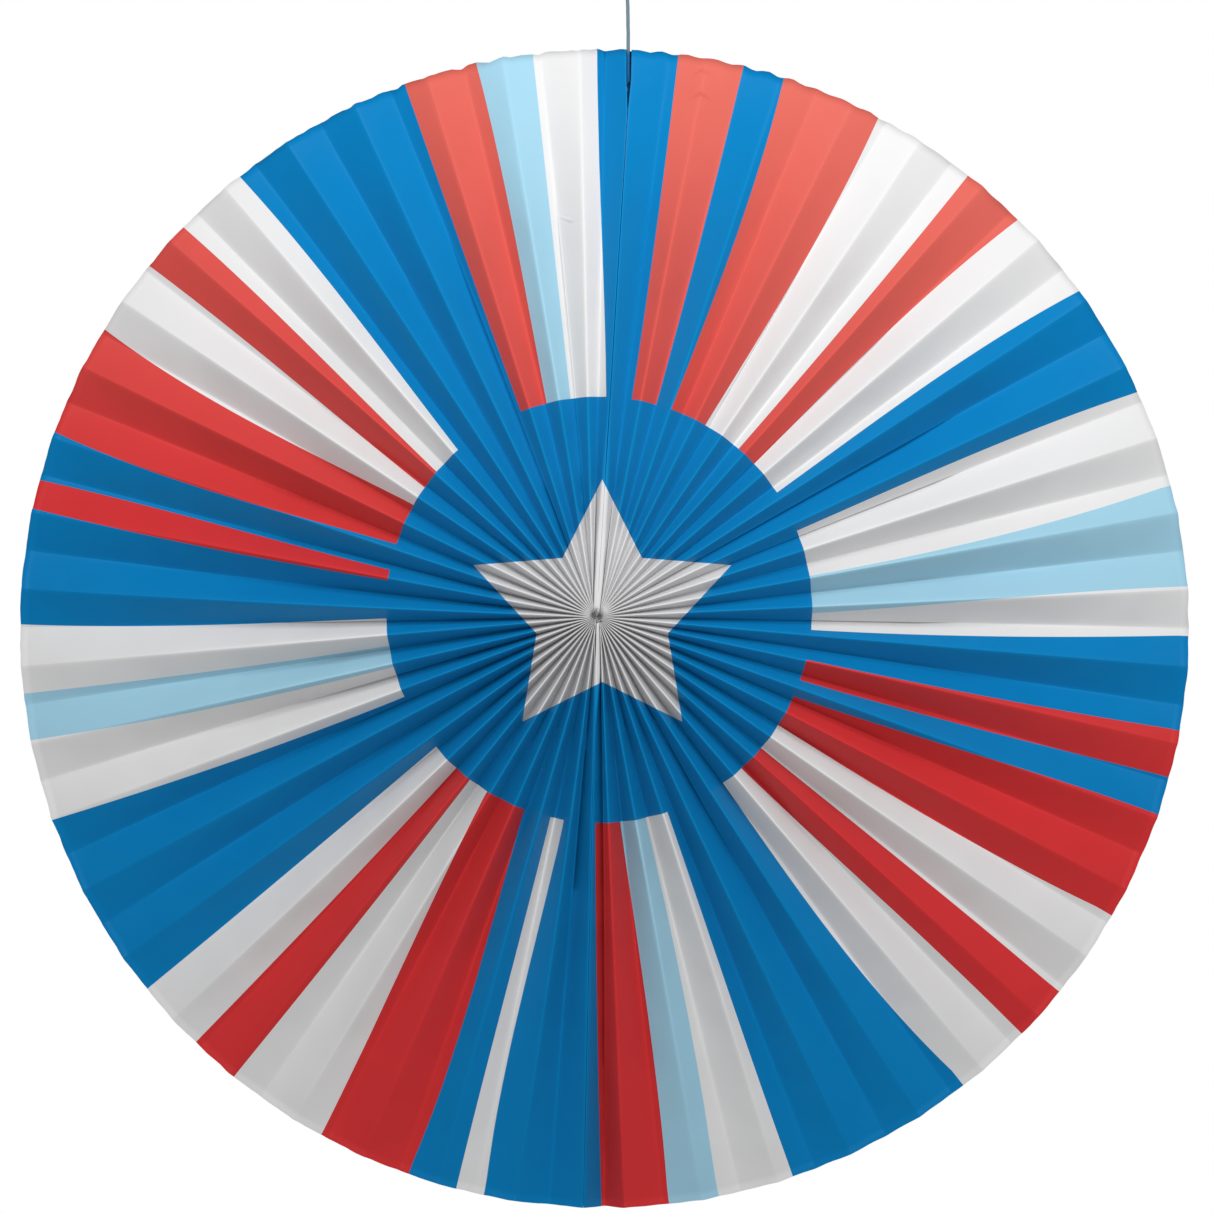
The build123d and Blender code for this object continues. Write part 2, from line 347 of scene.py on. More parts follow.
def slow_waves(seed, count, where, shortest):
    """Seeded sum of sines along a line. Each of the shape's waves is longer than the shortest."""
    chance = np.random.default_rng(seed)
    total = np.zeros_like(where)
    for _ in range(count):
        length = shortest * chance.uniform(1, 3.5)
        total += chance.normal() * np.sin(2 * np.pi * where / length + chance.uniform(0, 2 * np.pi))
    return total / np.sqrt(count / 2)


def fold_directions(first_seam, span, last_pleat, bow):
    """Each fold's direction at the rim.

    Crests are even steps apart, moved by a slow bow, and the last pleat is squeezed. Each valley
    lies half-way between its crests.
    """
    step = (span - last_pleat) / (pleats - 1)
    crests = np.append(first_seam + step * np.arange(pleats), first_seam + span)
    crests[1:-1] += bow(np.arange(1, pleats))
    folds = np.arange(2 * pleats + 1)
    return np.interp(folds, folds[::2], crests)


def fold_starts(first_seam, span, first_turn, last_turn, last_short):
    """Where each fold starts on the hole's rim.

    All are even steps apart, and those next to a seam turn away from it by an amount that fades
    from fold to fold, to leave room for its ridge. The last four may start a little further out.
    """
    folds = np.arange(2 * pleats + 1)
    near = hole_distance(first_seam + span * folds / folds[-1])
    near[-4:] += last_short
    lean = np.degrees(np.arcsin(hub_offset / near[[0, -1]]))
    turned = np.linspace(first_seam + lean[0], first_seam + span - lean[1], len(folds))
    turned[1:] += first_turn * np.exp(-folds[:-1] / ridge_fade)
    turned[:-1] -= last_turn * np.exp(-folds[:-1][::-1] / ridge_fade)
    return hub + towards(turned) * near[:, None]


def groove_rise(share, directions, width, from_crest):
    """How far back each column lies between its crest, 0, and its valley, 1.

    Each panel is straight with rounded ends. Where a groove is pressed shut, its mouth is only as
    deep as the mouth's slope times the panel's tangent (its width in the picture over its depth). A
    thin slit stays open in the valley itself, and on the hole's rim all columns lie forward.
    """
    slope = mouth_slope - mouth_change * np.cos(np.radians(directions[:-1] - mouth_side))
    slope = slope[None] * (1 + mouth_growth * np.exp(-share * usual_reach / mouth_reach))[:, None]
    (left_arc, left_width), (right_arc, right_width) = smooth_arcs
    smoothed = np.exp(-((directions[:-1] % 360 - left_arc) / left_width) ** 2)
    smoothed += np.exp(-((directions[:-1] - right_arc) / right_width) ** 2)
    close = np.exp(-((share * usual_reach + hole_radius) / smooth_reach) ** 4)
    slope *= 1 - smooth_share * smoothed[None] * close[:, None]
    tangent = width / np.sqrt(panel_width ** 2 - np.minimum(width, 0.99 * panel_width) ** 2)
    mouth = np.minimum(slope * tangent, 1)[:, :, None]
    bend = np.minimum(fold_radius / width, 0.3)
    rise = mouth * rounded(from_crest, bend[:, :, None])
    slit = (1 - smooth_step(share, 0.12, 0.24))[:, None, None] * (from_crest > valley_line)
    rise += (1 - rise) * slit
    rise[0] = hole_cup * from_crest[0]
    return rise


def with_tabs(grid, share, asides, spreads):
    """The surface with a glue tab at each end, which drops straight back from the seam's crease.

    A tab leans in to its neighbour by as much as the crease stands aside, in a smooth step a few
    millimetres behind the front, and deeper beside the string.
    """
    drop = np.repeat(tab_steps[None], len(grid), axis=0) * panel_width
    shallow = smooth_step((1 - share) * seam_length, 20.5, 24)[:, None]
    starts, ends = [
        deeper + (nearer - deeper) * shallow
        for deeper, nearer in zip(lean_beside_string, lean_elsewhere)
    ]
    closed = smooth_step(drop, starts, ends)
    tabs = []
    for edge, aside, spread in zip((grid[:, 0], grid[:, -1]), asides, spreads):
        lean = (spread[:, None] + seam_offset - paper / 2) * closed
        tabs.append(edge[:, None] + np.stack([lean * aside[0], drop, lean * aside[1]], axis=-1))
    return np.concatenate([tabs[0][:, ::-1], grid, tabs[1]], axis=1)


def closed_at_hub(side):
    """The surface with one more row inside, drawn in to the hub and back behind the hole's rim."""
    inner = side[:1].copy()
    inner[..., ::2] = hub + (inner[..., ::2] - hub) * hole_end
    inner[..., 1] = np.maximum(inner[..., 1], inner[..., 1].min() + hole_depth)
    return np.concatenate([inner, side])


def leaf_grid(seed, first_seam, span, last_pleat, bow, first_spread=(0, 0, 0, 0), last_spread=(0, 0, 0, 0),
              first_ridge=(0, 0, 1), last_ridge=(0, 0, 1), last_short=0):
    """A leaf's front and back, as points over (row from the hub, column across the folds).

    The folds are straight lines from the hub's hole to the oval rim. Crests lie forward and
    valleys back, so far apart that every panel keeps its own width from the hub to the rim. Near
    the hub the grooves are pressed shut: in front only their shallow mouths show, with a thin slit
    in the middle ones, and the folds stand out at the back. A spread holds what seam_spread takes
    for one seam's crease. A ridge beside a seam is (turn it takes at the hole in degrees, its
    width, the share of the way it reaches).
    """
    chance = np.random.default_rng(seed)
    folds = np.arange(2 * pleats + 1)
    share = (np.arange(rows + 1) / rows) ** row_crowding
    directions = fold_directions(first_seam, span, last_pleat, bow)
    inner = fold_starts(first_seam, span, first_ridge[0], last_ridge[0], last_short)
    outer = hub + towards(directions) * rim_distance(directions)[:, None]

    # The folds seen from the front, with the seams' creases moved aside and a slight sway.
    aside_first, aside_last = towards(first_seam + 90), towards(first_seam + span + 90)
    outer[0] += aside_first * seam_offset
    outer[-1] -= aside_last * seam_offset
    line = inner[None] + (outer - inner)[None] * share[:, None, None]
    close = (seam_offset - hub_offset) * (smooth_step(share, 0, 0.05) - share)
    spreads = [seam_spread(share, *first_spread) + close, seam_spread(share, *last_spread) + close]
    line[:, 0] += aside_first * spreads[0][:, None]
    line[:, -1] -= aside_last * spreads[1][:, None]
    sway = chance.normal(0, fold_sway, len(folds))
    sway[[0, -1]] = 0
    line += towards(directions + 90)[None] * (sway[None, :] * np.sin(np.pi * share)[:, None])[..., None]

    # The folds' depths: the valley lies behind its crests by the third side of a triangle whose long
    # side is the panel's width.
    crest_depth = -np.sqrt(panel_width ** 2 - (share * crest_width) ** 2) / 2
    depth = np.repeat(crest_depth[:, None], len(folds), axis=1)
    half = np.linalg.norm(line[:, 2::2] - line[:, :-2:2], axis=-1) / 2
    depth[:, 1::2] += np.sqrt(np.maximum(panel_width ** 2 - half ** 2, least_depth ** 2))
    level = (depth[:, 1:-1:2].mean(axis=1) + crest_depth)[:, None] / 2
    from_flat = (directions + 180) % 360 - 180 - flat_side
    pressed = np.exp(-from_flat ** 2 / flat_spread) * flat_share
    depth += (level - depth) * pressed[None, :] * smooth_step(share, 0.55, 1)[:, None]

    # The panels between the folds, each divided into columns. A ridge is the part of an end panel
    # next to its crease that stays level.
    width = np.linalg.norm(np.diff(line, axis=1), axis=-1)
    flat = line[:, :-1, None] + np.diff(line, axis=1)[:, :, None] * panel_steps[None, None, :, None]
    starts_at_crest = folds[:-1] % 2 == 0
    from_crest = np.where(starts_at_crest[None, :, None], panel_steps, 1 - panel_steps)
    from_crest = from_crest * np.ones((rows + 1, 1, 1))
    for panel, (_, ridge, end) in ((0, first_ridge), (-1, last_ridge)):
        flat_part = ridge * (1 - smooth_step(share, end / 4, end)) / width[:, panel]
        flat_part = np.minimum(flat_part, 0.75)[:, None]
        from_crest[:, panel] = np.clip(from_crest[:, panel] - flat_part, 0, 1) / (1 - flat_part)
    valley = np.where(starts_at_crest, depth[:, 1:], depth[:, :-1])
    crest = np.where(starts_at_crest, depth[:, :-1], depth[:, 1:])
    rise = groove_rise(share, directions, width, from_crest)
    deep = crest[:, :, None] + (valley - crest)[:, :, None] * rise
    behind = np.where(from_crest > valley_line, valley[:, :, None] - deep, 0)
    behind[0] = 0
    bulge = chance.normal(0, panel_bulge, (2, len(folds) - 1))
    waves = np.sin(np.pi * share)[:, None] * bulge[0] + np.sin(2 * np.pi * share)[:, None] * bulge[1]
    deep += (waves * share[:, None])[:, :, None] * np.sin(np.pi * panel_steps)
    grid = np.concatenate([flat, deep[..., None]], axis=-1).reshape(rows + 1, -1, 3)
    last = np.concatenate([line[:, -1:], depth[:, -1:, None]], axis=-1)
    grid = np.concatenate([grid, last], axis=1)

    # The uneven cut of the rim, which leaves the seams' own ends alone.
    away = grid[..., :2] - hub
    turn = np.degrees(np.arctan2(away[..., 0], away[..., 1]))
    turn = first_seam - 90 + (turn - first_seam + 90) % 360
    top = np.exp(-(((turn[-1] + 180) % 360 - 180) / top_half) ** 4)
    ragged = slow_waves(seed, rim_waves, turn[-1], shortest_wave) * (rim_roughness + top_roughness * top)
    ragged *= smooth_step(np.abs(turn[-1] - first_seam), 0, 2)
    ragged *= smooth_step(np.abs(turn[-1] - first_seam - span), 0, 2)
    grid[..., :2] += towards(turn) * (ragged[None] * smooth_step(share, 0.9, 1)[:, None])[..., None]

    front = with_tabs(grid[..., [0, 2, 1]], share, (-aside_first, aside_last), spreads)
    back = front.copy()
    back[:, len(tab_steps):-len(tab_steps) - 1, 1] += behind.reshape(rows + 1, -1)
    return closed_at_hub(front), closed_at_hub(back)


def surface_normals(grid):
    """Unit normals of a grid surface, from the cross product of its two differences."""
    normal = np.cross(np.gradient(grid, axis=1), np.gradient(grid, axis=0))
    return normal / np.linalg.norm(normal, axis=-1)[..., None]


# The print: each stripe's colour and the direction of its leading edge, in degrees clockwise from
# straight up about the middle of the print, at the disc, half-way out and at the rim.
print_middle = np.array([-5.5, 10.8])
stripe_radii = np.array([139.0, 260.0, 380.0])
stripes = [
    ("red", 9.6, 9.0, 8.4), ("blue", 16.25, 15.7, 15.15),
    ("red", 20.4, 20.6, 19.3), ("white", 30.4, 30.85, 29.75), ("red", 40.6, 40.4, 39.75),
    ("white", 46.35, 45.6, 46.6), ("blue", 56.1, 55.0, 55.9), ("white", 67.5, 66.8, 67.5),
    ("sky", 80.0, 79.0, 77.15), ("white", 90.0, 87.75, 87.15), ("blue", 94.4, 93.1, 91.9),
    ("red", 102.4, 101.9, 101.2), ("blue", 108.1, 106.75, 105.85), ("red", 112.9, 110.3, 109.5),
    ("white", 121.6, 121.4, 120.2), ("red", 129.25, 129.0, 129.15), ("white", 136.9, 135.0, 134.5),
    ("blue", 143.25, 143.7, 142.0), ("white", 160.25, 160.65, 160.65), ("sky", 166.35, 167.0, 168.1),
    ("red", 173.4, 172.6, 172.9), ("blue", 180.15, 179.8, 179.45), ("white", 188.75, 191.0, 190.95),
    ("blue", 192.6, 193.4, 193.7), ("red", 200.0, 198.1, 198.5), ("white", 211.4, 208.9, 207.85),
    ("red", 216.35, 216.9, 217.35), ("white", 221.25, 221.9, 222.4), ("blue", 229.4, 229.3, 229.4),
    ("white", 245.65, 247.25, 248.6), ("sky", 254.35, 255.5, 256.85), ("white", 260.25, 260.9, 261.5),
    ("blue", 267.9, 267.7, 268.4), ("red", 278.35, 279.0, 280.15), ("blue", 281.1, 282.8, 283.0),
    ("red", 288.5, 287.15, 288.25), ("white", 300.25, 298.55, 299.85), ("red", 305.75, 307.3, 307.5),
    ("white", 311.15, 312.7, 312.75), ("blue", 319.4, 320.8, 320.4), ("red", 339.35, 339.7, 340.0),
    ("sky", 346.6, 347.8, 347.5), ("white", 353.15, 353.4, 353.5), ("blue", 362.75, 360.7, 360.1),
]
ramp_steps = 255
stop_lead = 0.2
turn_before = 10


def print_place(x, z, start, span):
    """Where a point lies in the print: its share of the leaf's turn, and its distance in metres.

    The share is the direction about the middle of the print, less the drift of the nearest stripe
    edges at that distance, so every stripe edge has one share from the disc to the rim.
    """
    away = np.stack([x, z], axis=-1) - print_middle
    distance = np.linalg.norm(away, axis=-1)
    direction = np.degrees(np.arctan2(away[..., 0], away[..., 1]))
    direction = start - turn_before + (direction - start + turn_before) % 360
    edges = np.array([stripe[1:] for stripe in stripes])
    edges = np.concatenate([edges - 360, edges, edges + 360])
    usual = edges.mean(axis=1)
    stepped = start + np.round((usual - start) / span * ramp_steps) / ramp_steps * span
    near, middle, far = (edges - stepped[:, None]).T
    out = np.clip((distance - stripe_radii[0]) / (stripe_radii[2] - stripe_radii[0]), 0, 1)
    share = direction.copy()
    for _ in range(8):
        a = np.interp(share, stepped, near)
        b = np.interp(share, stepped, middle)
        c = np.interp(share, stepped, far)
        curve = a * (1 - out) * (1 - 2 * out) + 4 * b * out * (1 - out) + c * out * (2 * out - 1)
        share = direction - curve
    return (share - start) / span, distance / 1000


def calculate(group, operation, a, b=None, clamp=False):
    """One step of arithmetic in a group or a material. Each input is a socket or a number."""
    math = group.nodes.new("ShaderNodeMath")
    math.operation = operation
    math.use_clamp = clamp
    for socket, value in zip(math.inputs, (a, b)):
        if value is None:
            continue
        if isinstance(value, (int, float)):
            socket.default_value = value
        else:
            group.links.new(value, socket)
    return math.outputs[0]


# The disc and the star are worked out from the place on the finished fan, so their edges run
# straight across the folds. One half of the star is drawn, and the other is its mirror image.
disc_middle, disc_radius = (-0.0035, 0.0122), 0.1392
star_middle = (-0.0014, 0.0102)
star_top, star_arm, star_leg = (0.0, 0.087), (0.0842, 0.0312), (0.0522, -0.071)
star_armpit, star_waist, star_crotch = (0.0259, 0.0359), (0.0428, -0.0133), (0.0, -0.0449)
disc_and_star, _, out = node_group("disc_and_star", [], [("Disc", "Float"), ("Star", "Float")])
place = own_place(disc_and_star)
right = calculate(disc_and_star, "SUBTRACT", place["X"], disc_middle[0])
up = calculate(disc_and_star, "SUBTRACT", place["Z"], disc_middle[1])
squares = [calculate(disc_and_star, "MULTIPLY", side, side) for side in (right, up)]
distance = calculate(disc_and_star, "SQRT", calculate(disc_and_star, "ADD", *squares))
disc = calculate(disc_and_star, "LESS_THAN", distance, disc_radius)
disc_and_star.links.new(disc, out.inputs["Disc"])
aside = calculate(disc_and_star, "SUBTRACT", place["X"], star_middle[0])
aside = calculate(disc_and_star, "ABSOLUTE", aside)
height = calculate(disc_and_star, "SUBTRACT", place["Z"], star_middle[1])


def inside_line(start, end):
    """How far a place lies to the right of the line from start to end: positive on that side."""
    run, climb = end[0] - start[0], end[1] - start[1]
    length = (run ** 2 + climb ** 2) ** 0.5
    sideways = calculate(disc_and_star, "MULTIPLY", aside, climb / length)
    upwards = calculate(disc_and_star, "MULTIPLY", height, run / length)
    gap = calculate(disc_and_star, "SUBTRACT", sideways, upwards)
    return calculate(disc_and_star, "ADD", gap, (run * start[1] - climb * start[0]) / length)


def joined(operation, values):
    """The least or the greatest of several values."""
    total = values[0]
    for value in values[1:]:
        total = calculate(disc_and_star, operation, total, value)
    return total


mirrored_armpit = (-star_armpit[0], star_armpit[1])
points = [
    joined("MINIMUM", [inside_line(star_top, star_armpit), inside_line(star_armpit, mirrored_armpit)]),
    joined("MINIMUM", [
        inside_line(star_armpit, star_arm), inside_line(star_arm, star_waist),
        inside_line(star_waist, star_armpit),
    ]),
    joined("MINIMUM", [
        inside_line(star_waist, star_leg), inside_line(star_leg, star_crotch),
        inside_line(star_crotch, star_waist),
    ]),
    joined("MINIMUM", [
        inside_line(mirrored_armpit, star_armpit), inside_line(star_armpit, star_waist),
        inside_line(star_waist, star_crotch),
    ]),
]
star = calculate(disc_and_star, "GREATER_THAN", joined("MAXIMUM", points), -0.00002)
disc_and_star.links.new(star, out.inputs["Star"])

# Shade gathers in the hub's hole, which is an oval hollow with a pointed tip, and in the slanting
# slit below it. Each form's share is 0 in its middle and 1 at its edge. Its shade is full up to 0.9
# and ends at 1.1, and in the hole it is a little weaker.
hollow_middle, tip_middle, slit_middle = (-0.005083, 0.008286), (-0.005133, 0.008333), (-0.003302, 0.00442)
shade_end, shade_growth = 1.1, 5.0
hollow_shade = 0.6
hub_shade, _, out = node_group("hub_shade", [], [("Shade", "Float")])
place = own_place(hub_shade)


def from_line(middle, across, up):
    """across times (X less the middle's) plus up times (Z less the middle's), as a share."""
    sideways = calculate(hub_shade, "MULTIPLY", place["X"], across)
    upwards = calculate(hub_shade, "MULTIPLY", place["Z"], up)
    level = -across * middle[0] - up * middle[1]
    return calculate(hub_shade, "ADD", calculate(hub_shade, "ADD", sideways, upwards), level)


hollow = [from_line(hollow_middle, 290.0, 60.0), from_line(hollow_middle, 0.0, 350.0)]
hollow = [calculate(hub_shade, "MULTIPLY", side, side) for side in hollow]
hollow = calculate(hub_shade, "SQRT", calculate(hub_shade, "ADD", *hollow))
tip = [from_line(tip_middle, 500.0, 50.0), from_line(tip_middle, 0.0, 192.0)]
tip = calculate(hub_shade, "ADD", *[calculate(hub_shade, "ABSOLUTE", side) for side in tip])
drop = calculate(hub_shade, "MINIMUM", hollow, tip)
slit = [from_line(slit_middle, 860.0, -3000.0), from_line(slit_middle, 480.0, 138.0)]
slit = calculate(hub_shade, "MAXIMUM", *[calculate(hub_shade, "ABSOLUTE", side) for side in slit])
drop, slit = [calculate(hub_shade, "SUBTRACT", shade_end, form) for form in (drop, slit)]
drop, slit = [calculate(hub_shade, "MULTIPLY", form, shade_growth, clamp=True) for form in (drop, slit)]
drop = calculate(hub_shade, "MULTIPLY", drop, hollow_shade)
hub_shade.links.new(calculate(hub_shade, "MAXIMUM", drop, slit), out.inputs["Shade"])

# Painted light over the sheet: the red is painted paler towards the top as a painted sheen, and
# the silver is painted darker below the hub as painted shade. Both change along a line that leans
# a little to the right.
painted_light_lean = 0.25
red_least = 1 / 1.3
sheen_height = 0.42
lower_shade_top, lower_shade_fade = 0.027, 0.035
painted_light_by_height, own, out = node_group(
    "painted_light_by_height",
    [("Stripe", "Color"), ("Star", "Float")],
    [("Painted Sheen", "Float"), ("Painted Shade", "Float")],
)
place = own_place(painted_light_by_height)
inks = painted_light_by_height.nodes.new("ShaderNodeSeparateColor")
painted_light_by_height.links.new(own.outputs["Stripe"], inks.inputs[0])
redness = calculate(painted_light_by_height, "SUBTRACT", inks.outputs["Red"], inks.outputs["Green"])
redness = calculate(painted_light_by_height, "DIVIDE", redness, red_least, clamp=True)
lean = calculate(painted_light_by_height, "MULTIPLY", place["X"], painted_light_lean)
height = calculate(painted_light_by_height, "ADD", place["Z"], lean)
# The red is painted paler with height: painted sheen.
rise = calculate(painted_light_by_height, "DIVIDE", height, sheen_height, clamp=True)
painted_light_by_height.links.new(calculate(painted_light_by_height, "MULTIPLY", redness, rise), out.inputs["Painted Sheen"])
# Painted shade: the star's silver is darkened below the hub.
lower_shade = calculate(painted_light_by_height, "SUBTRACT", lower_shade_top, height)
lower_shade = calculate(painted_light_by_height, "DIVIDE", lower_shade, lower_shade_fade, clamp=True)
lower_shade = calculate(painted_light_by_height, "MULTIPLY", lower_shade, own.outputs["Star"])
painted_light_by_height.links.new(lower_shade, out.inputs["Painted Shade"])

# The paper's own look: a faint cockle and a few small dents under the satin print. Along the crests
# the star's silver is rubbed off and whitened further as a painted highlight, and near the hub every
# crest is painted a little lighter as a painted highlight. A dent is (x, z, half its width, slant of
# its ridge, depth), in metres but for the depth.
least_roughness, roughness_change = 0.42, 0.12
crest_wear_and_light = 0.9
crest_light_end, crest_light_fade, crest_light_share = 0.24, 0.14, 0.05
dents = [
    (0.0644, 0.3645, 0.008, 0.55, 0.25),
    (0.0631, 0.3495, 0.009, 0.6, 0.35),
    (-0.0215, 0.2665, 0.011, -0.35, 0.25),
]
dent_half_height = 0.0016
paper_grain_and_crest_light, _, out = node_group(
    "paper_grain_and_crest_light",
    [],
    [("Wear And Light", "Float"), ("Painted Crest Light", "Float"), ("Roughness", "Float"), ("Normal", "Vector")],
)
here = paper_grain_and_crest_light.nodes.new("ShaderNodeTexCoord")
cockle = paper_grain_and_crest_light.nodes.new("ShaderNodeTexNoise")
cockle.inputs["Scale"].default_value = 22
cockle.inputs["Detail"].default_value = 1
paper_grain_and_crest_light.links.new(here.outputs["Object"], cockle.inputs["Vector"])
crest_line = paper_grain_and_crest_light.nodes.new("ShaderNodeAttribute")
crest_line.attribute_name = "crest"
# Crest lines for the star's rubbed silver, whitened further as a painted highlight.
wear_and_light = calculate(paper_grain_and_crest_light, "MULTIPLY", crest_line.outputs["Fac"], crest_wear_and_light)
paper_grain_and_crest_light.links.new(wear_and_light, out.inputs["Wear And Light"])
in_print = paper_grain_and_crest_light.nodes.new("ShaderNodeUVMap")
in_print.uv_map = "print"
split = paper_grain_and_crest_light.nodes.new("ShaderNodeSeparateXYZ")
paper_grain_and_crest_light.links.new(in_print.outputs["UV"], split.inputs[0])
# Painted highlight: the crest lines near the hub are painted a little lighter.
near = calculate(paper_grain_and_crest_light, "SUBTRACT", crest_light_end, split.outputs["Y"])
near = calculate(paper_grain_and_crest_light, "DIVIDE", near, crest_light_fade, clamp=True)
crest_light = calculate(paper_grain_and_crest_light, "MULTIPLY", crest_line.outputs["Fac"], near)
crest_light = calculate(paper_grain_and_crest_light, "MULTIPLY", crest_light, crest_light_share)
paper_grain_and_crest_light.links.new(calculate(paper_grain_and_crest_light, "SUBTRACT", 1.0, crest_light), out.inputs["Painted Crest Light"])
roughness = calculate(paper_grain_and_crest_light, "MULTIPLY", cockle.outputs["Fac"], roughness_change)
roughness = calculate(paper_grain_and_crest_light, "ADD", roughness, least_roughness)
paper_grain_and_crest_light.links.new(roughness, out.inputs["Roughness"])
soft = paper_grain_and_crest_light.nodes.new("ShaderNodeBump")
soft.inputs["Strength"].default_value = 0.6
soft.inputs["Distance"].default_value = 0.004
place = own_place(paper_grain_and_crest_light)


def dent(x, z, half_width, slant, depth):
    """A small roof-shaped dent in the paper round (x, z): a ridge that drops away to both sides."""
    aside = calculate(paper_grain_and_crest_light, "SUBTRACT", place["X"], x)
    out_from = calculate(paper_grain_and_crest_light, "ABSOLUTE", aside)
    line = calculate(paper_grain_and_crest_light, "MULTIPLY", out_from, slant)
    line = calculate(paper_grain_and_crest_light, "ADD", calculate(paper_grain_and_crest_light, "SUBTRACT", place["Z"], z), line)
    ridge = calculate(paper_grain_and_crest_light, "ABSOLUTE", line)
    ridge = calculate(paper_grain_and_crest_light, "MULTIPLY", ridge, 1 / dent_half_height)
    ridge = calculate(paper_grain_and_crest_light, "SUBTRACT", 1.0, ridge, clamp=True)
    fade = calculate(paper_grain_and_crest_light, "MULTIPLY", out_from, 1 / half_width)
    fade = calculate(paper_grain_and_crest_light, "SUBTRACT", 1.0, fade, clamp=True)
    return calculate(paper_grain_and_crest_light, "MULTIPLY", calculate(paper_grain_and_crest_light, "MULTIPLY", ridge, fade), depth)


relief = cockle.outputs["Fac"]
for spot in dents:
    relief = calculate(paper_grain_and_crest_light, "ADD", relief, dent(*spot))
paper_grain_and_crest_light.links.new(relief, soft.inputs["Height"])
paper_grain_and_crest_light.links.new(soft.outputs["Normal"], out.inputs["Normal"])

paper_colours = {
    "blue": (0.001, 0.248, 0.61, 1),
    "red": (0.8, 0.042, 0.046, 1),
    "sky": (0.42, 0.74, 0.92, 1),
    "white": (0.93, 0.93, 0.935, 1),
    "silver": (0.88, 0.88, 0.89, 1),
    "silver in painted shade": (0.74, 0.74, 0.75, 1),
    "rubbed and lit crest": (0.95, 0.95, 0.95, 1),
    "shade": (0.11, 0.11, 0.115, 1),
    "thrown light": (0.62, 0.62, 0.63, 1),
    "red in painted sheen": (0.86, 0.19, 0.145, 1),
}
thrown_share = 0.8


def stripe_steps(start, span):
    """The leaf's stripes in order, each as the ramp's step at its leading edge and its colour."""
    stops = sorted(
        (np.round((np.mean(edge) + turn - start) / span * ramp_steps), colour)
        for colour, *edge in stripes for turn in (-360, 0, 360)
    )
    first = [colour for step, colour in stops if step <= 0][-1]
    return [(0, first)] + [stop for stop in stops if 0 < stop[0] <= ramp_steps]


def printed_paper(name, start, span):
    """Satin paper printed with the stripes of one leaf, a blue disc and a silver star.

    A colour ramp over the share of the leaf's turn gives the stripes. The light that one panel
    throws on the next is greyer than the print itself.
    """
    material, tree, shader = new_material(name)
    link = tree.links.new
    in_print = tree.nodes.new("ShaderNodeUVMap")
    in_print.uv_map = "print"
    split = tree.nodes.new("ShaderNodeSeparateXYZ")
    link(in_print.outputs["UV"], split.inputs[0])
    ramp = tree.nodes.new("ShaderNodeValToRGB")
    ramp.color_ramp.interpolation = "CONSTANT"
    elements = ramp.color_ramp.elements
    elements.remove(elements[-1])
    (_, first), *others = stripe_steps(start, span)
    elements[0].color = paper_colours[first]
    for step, colour in others:
        element = elements.new((step - stop_lead) / ramp_steps)
        element.color = paper_colours[colour]
    link(split.outputs["X"], ramp.inputs["Fac"])

    artwork = place_group(tree, disc_and_star)
    inks = place_group(tree, painted_light_by_height)
    link(ramp.outputs["Color"], inks.inputs["Stripe"])
    link(artwork.outputs["Star"], inks.inputs["Star"])
    # The red stripes are painted paler towards the top: painted sheen.
    colour = mixed(tree, inks.outputs["Painted Sheen"], ramp.outputs["Color"], paper_colours["red in painted sheen"])
    colour = mixed(tree, artwork.outputs["Disc"], colour, paper_colours["blue"])
    colour = mixed(tree, artwork.outputs["Star"], colour, paper_colours["silver"])
    # The star's silver is painted darker below the hub: painted shade.
    colour = mixed(tree, inks.outputs["Painted Shade"], colour, paper_colours["silver in painted shade"])

    grain = place_group(tree, paper_grain_and_crest_light)
    # A gamma below one paints the crests near the hub a little lighter: painted highlight.
    lit_crest_gamma = tree.nodes.new("ShaderNodeGamma")
    link(colour, lit_crest_gamma.inputs["Color"])
    link(grain.outputs["Painted Crest Light"], lit_crest_gamma.inputs["Gamma"])
    # Along the star's crests the silver is rubbed off and whitened further as a painted highlight.
    rubbed_and_lit = calculate(tree, "MULTIPLY", grain.outputs["Wear And Light"], artwork.outputs["Star"])
    colour = mixed(tree, rubbed_and_lit, lit_crest_gamma.outputs["Color"], paper_colours["rubbed and lit crest"])
    hole = place_group(tree, hub_shade)
    colour = mixed(tree, hole.outputs["Shade"], colour, paper_colours["shade"])
    ray = tree.nodes.new("ShaderNodeLightPath")
    thrown = calculate(tree, "MULTIPLY", ray.outputs["Is Diffuse Ray"], thrown_share)
    link(mixed(tree, thrown, colour, paper_colours["thrown light"]), shader.inputs["Base Color"])
    link(grain.outputs["Roughness"], shader.inputs["Roughness"])
    link(grain.outputs["Normal"], shader.inputs["Normal"])
    shader.inputs["Specular IOR Level"].default_value = 0.1
    return material


plain_paper, tree, shader = new_material("plain_paper")
shader.inputs["Base Color"].default_value = (0.86, 0.86, 0.85, 1)
grain = place_group(tree, paper_grain_and_crest_light)
tree.links.new(grain.outputs["Roughness"], shader.inputs["Roughness"])
tree.links.new(grain.outputs["Normal"], shader.inputs["Normal"])

# The sheet: from the straight row outwards the hollow side of a fold moves straight forward or
# back, a face much steeper than it is wide is shaded flat, and the line along a crest, rubbed and
# painted as a highlight, widens outwards, but ends where the seams' own creases close.
hub_room = 0.7
straight_row = 22
steep = 6
line_at_hub, line_growth = 0.12, 0.024
line_least, line_most = 0.2, 0.45
seam_columns = 14
seam_line_ends = 85, 110


